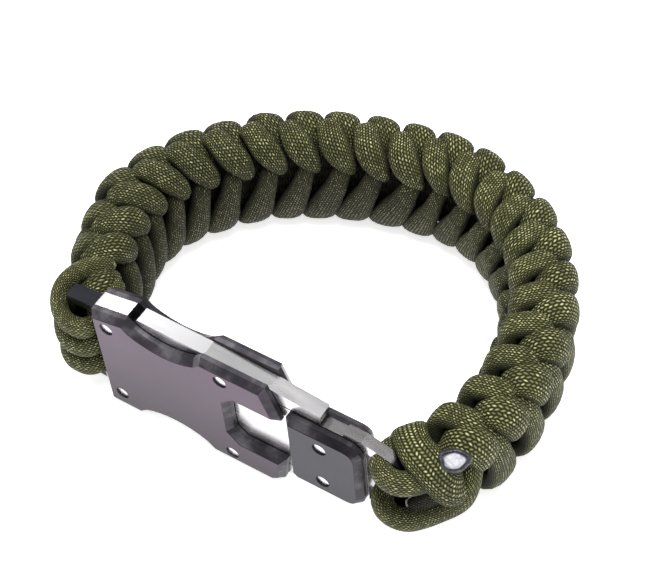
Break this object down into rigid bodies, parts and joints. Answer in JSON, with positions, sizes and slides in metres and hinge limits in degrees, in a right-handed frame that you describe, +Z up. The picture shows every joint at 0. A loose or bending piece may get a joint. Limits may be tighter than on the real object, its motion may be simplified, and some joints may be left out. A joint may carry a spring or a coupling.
{
  "type": "paracord bracelet with a sheathed blade clasp",
  "caption": "Woven paracord wrist bracelet closed by a flat metal clasp whose riveted sheath holds a small blade, lying on its side as a closed ring.",
  "frame": {"origin": "centre of the bounding box at the level the bracelet rests on", "axes": "+X along the clasp from its sheath to its handle, +Y from the clasp across the wrist hollow to the band's far side, +Z up along the wrist hollow's axis"},
  "size_m": [0.0835, 0.0662, 0.0242],
  "materials": {
    "black_metal": "dark anodised metal with a satin sheen and bevelled edges",
    "steel": "satin brushed stainless steel",
    "rivet_steel": "bright turned rivet heads",
    "olive_cord": "olive green braided nylon cord sheath",
    "melted_nylon": "white nylon melted to a hard bead"
  },
  "bodies": {
    "root": {"sheath_front_scale": "black_metal", "sheath_back_scale": "black_metal", "anchor_plate": "steel", "upper_rail": "steel", "lower_rail": "steel", "blade_and_tang": "steel", "handle_front_scale": "black_metal", "handle_back_scale": "black_metal", "sheath_rivet_1": "rivet_steel", "sheath_rivet_2": "rivet_steel", "sheath_rivet_3": "rivet_steel", "sheath_rivet_4": "rivet_steel", "handle_rivet_1": "rivet_steel", "handle_rivet_2": "rivet_steel", "woven_band": "olive_cord", "left_loop_upper": "olive_cord", "left_loop_middle": "olive_cord", "left_loop_lower": "olive_cord", "right_loop_upper": "olive_cord", "right_loop_lower": "olive_cord", "melted_cord_end": "melted_nylon"}
  },
  "joints": []
}
